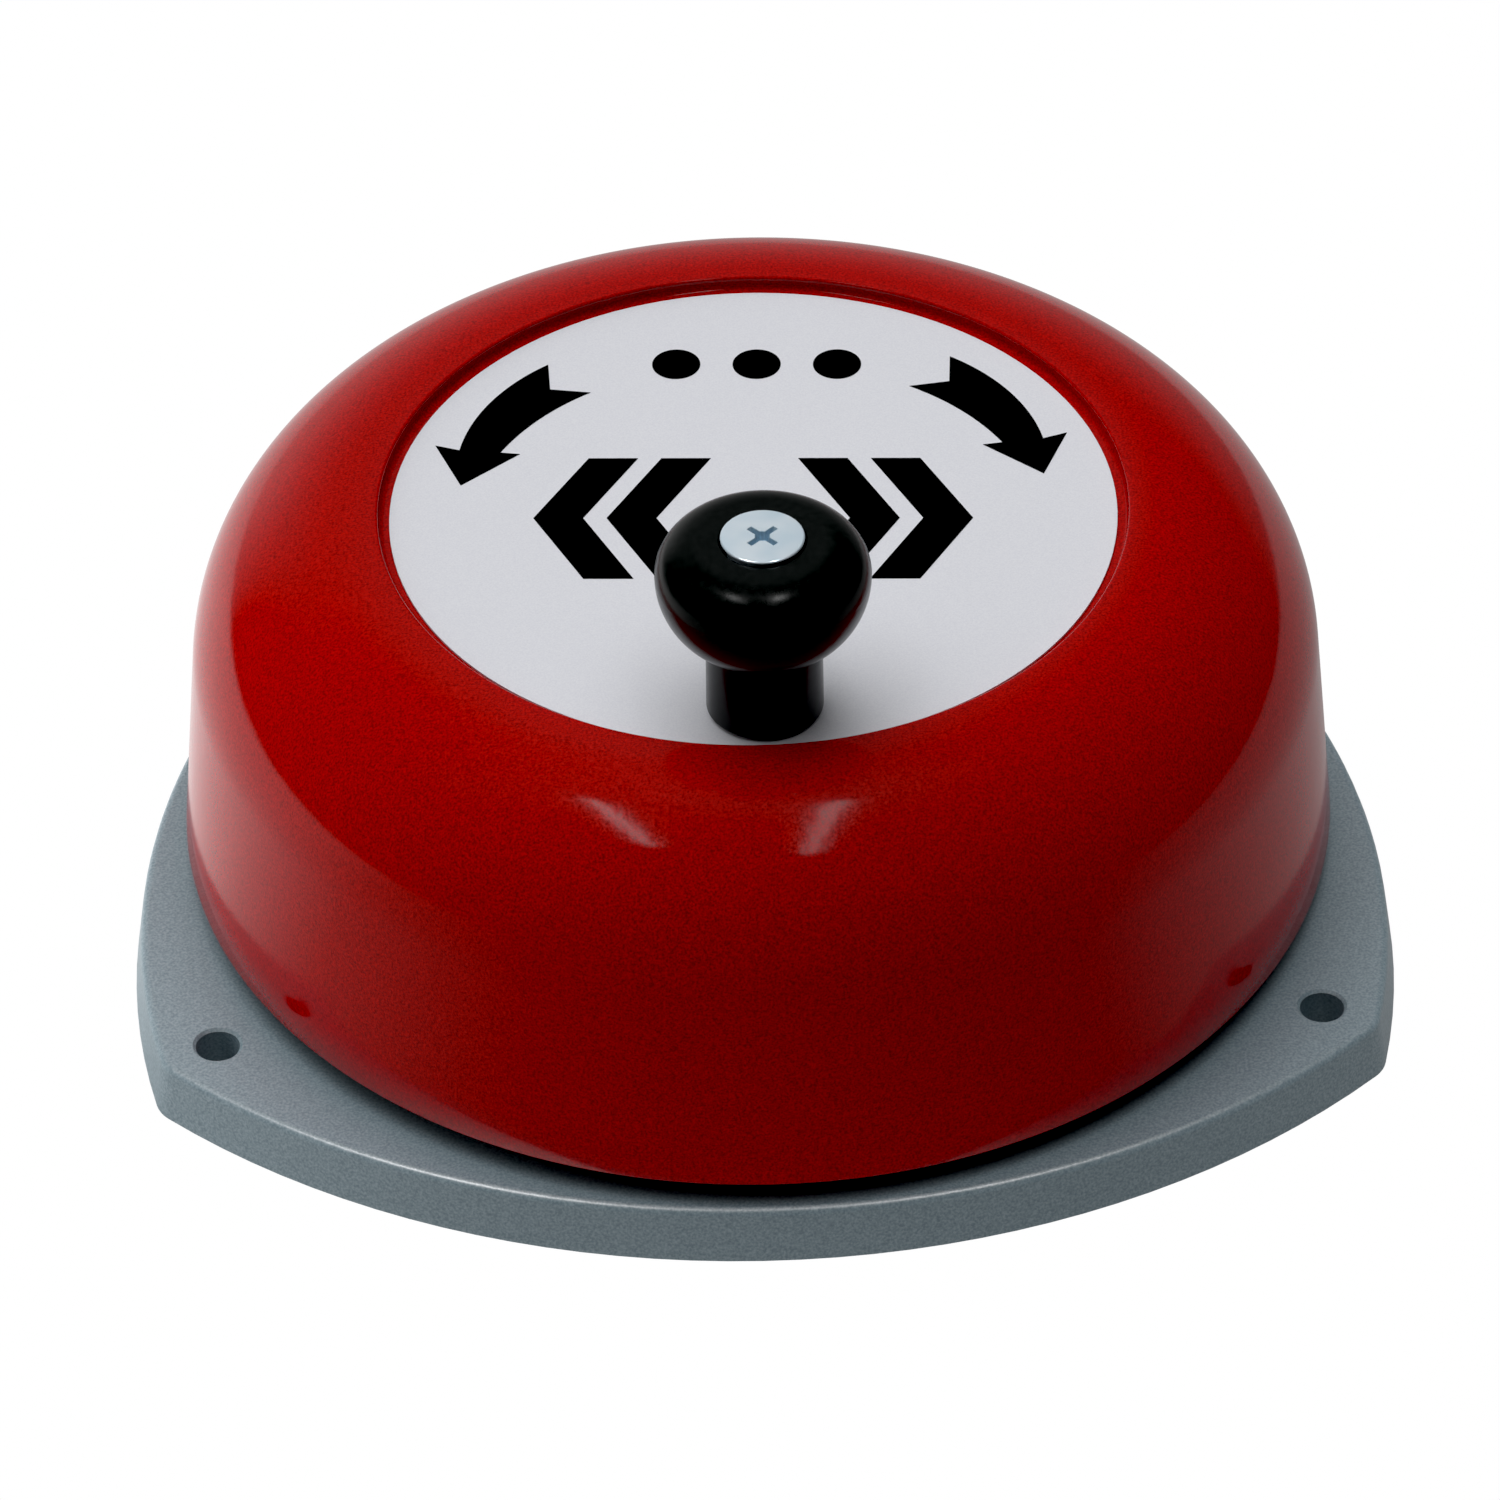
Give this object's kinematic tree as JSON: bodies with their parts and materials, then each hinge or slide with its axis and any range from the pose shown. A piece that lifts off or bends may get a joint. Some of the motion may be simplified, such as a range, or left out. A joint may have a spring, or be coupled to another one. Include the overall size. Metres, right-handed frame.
{
  "type": "rotary fire bell",
  "caption": "Hand-turned wall fire bell: a round gong with a knob turns on a cast three-cornered base and gears whirl hinged hammers inside it.",
  "frame": {"origin": "where the spindle axis meets the wall, in the plane of the base's back face", "axes": "+Z along the spindle, out of the wall; at rest the knob is on the -Y side and one fixing hole is on the +Y side; +X is to the right, seen from the front with +Y up"},
  "size_m": [0.2184, 0.2234, 0.1146],
  "materials": {
    "base_casting": "satin hammered paint on a casting",
    "gong_enamel": "gloss enamel",
    "face_sheet": "satin sheet",
    "knob_phenolic": "satin moulded",
    "zinc_steel": "bright zinc plate",
    "plain_steel": "turned",
    "bearing_bronze": "turned",
    "gear_brass": "cut",
    "hub_alloy": "turned",
    "hammer_steel": "hardened",
    "nylon": "natural"
  },
  "bodies": {
    "base": {"base_plate": "base_casting", "bush_lower": "bearing_bronze", "bush_upper": "bearing_bronze", "rotor_stud": "plain_steel", "rotor_stud_washer": "zinc_steel", "rotor_stud_nut": "zinc_steel", "rotor_washer": "zinc_steel", "rotor_circlip": "plain_steel"},
    "gong_unit": {"gong": "gong_enamel", "face_plate": "face_sheet", "hub": "hub_alloy", "hub_pin": "plain_steel", "hub_rivets": "hub_alloy", "spindle": "plain_steel", "spindle_washer": "zinc_steel", "spindle_circlip": "plain_steel", "drive_gear": "gear_brass", "gear_screws": "zinc_steel", "knob_sleeve": "plain_steel", "knob_washer": "nylon", "knob_screw": "zinc_steel", "knob_lock_washer": "zinc_steel", "knob_nut": "zinc_steel"},
    "rotor": {"rotor_sleeve": "bearing_bronze", "rotor_arm": "plain_steel", "arm_rivets": "plain_steel", "hammer_pins": "plain_steel", "hammer_clips": "plain_steel", "pinion": "plain_steel", "pinion_set_screw": "plain_steel"},
    "hammer_a": {"hammer_a": "hammer_steel"},
    "hammer_b": {"hammer_b": "hammer_steel"},
    "knob": {"knob": "knob_phenolic"}
  },
  "joints": [
    {"name": "gong_spin", "type": "hinge", "parent": "base", "child": "gong_unit", "pos_m": [0, 0, 0.03], "axis": [0, 0, 1], "continuous": true},
    {"name": "rotor_spin", "type": "hinge", "parent": "base", "child": "rotor", "pos_m": [0, 0.057, 0.03], "axis": [0, 0, 1], "continuous": true},
    {"name": "hammer_a_swing", "type": "hinge", "parent": "rotor", "child": "hammer_a", "pos_m": [0.02402, 0.057, 0.029], "axis": [0, 0, 1], "range_deg": [-85, 85]},
    {"name": "hammer_b_swing", "type": "hinge", "parent": "rotor", "child": "hammer_b", "pos_m": [-0.02402, 0.057, 0.029], "axis": [0, 0, 1], "range_deg": [-85, 85]},
    {"name": "knob_spin", "type": "hinge", "parent": "gong_unit", "child": "knob", "pos_m": [0, -0.05171, 0.095], "axis": [0, 0, 1], "continuous": true}
  ],
  "couplings": [
    {"joint": "rotor_spin", "follows": "gong_spin", "ratio": -5.3333}
  ]
}
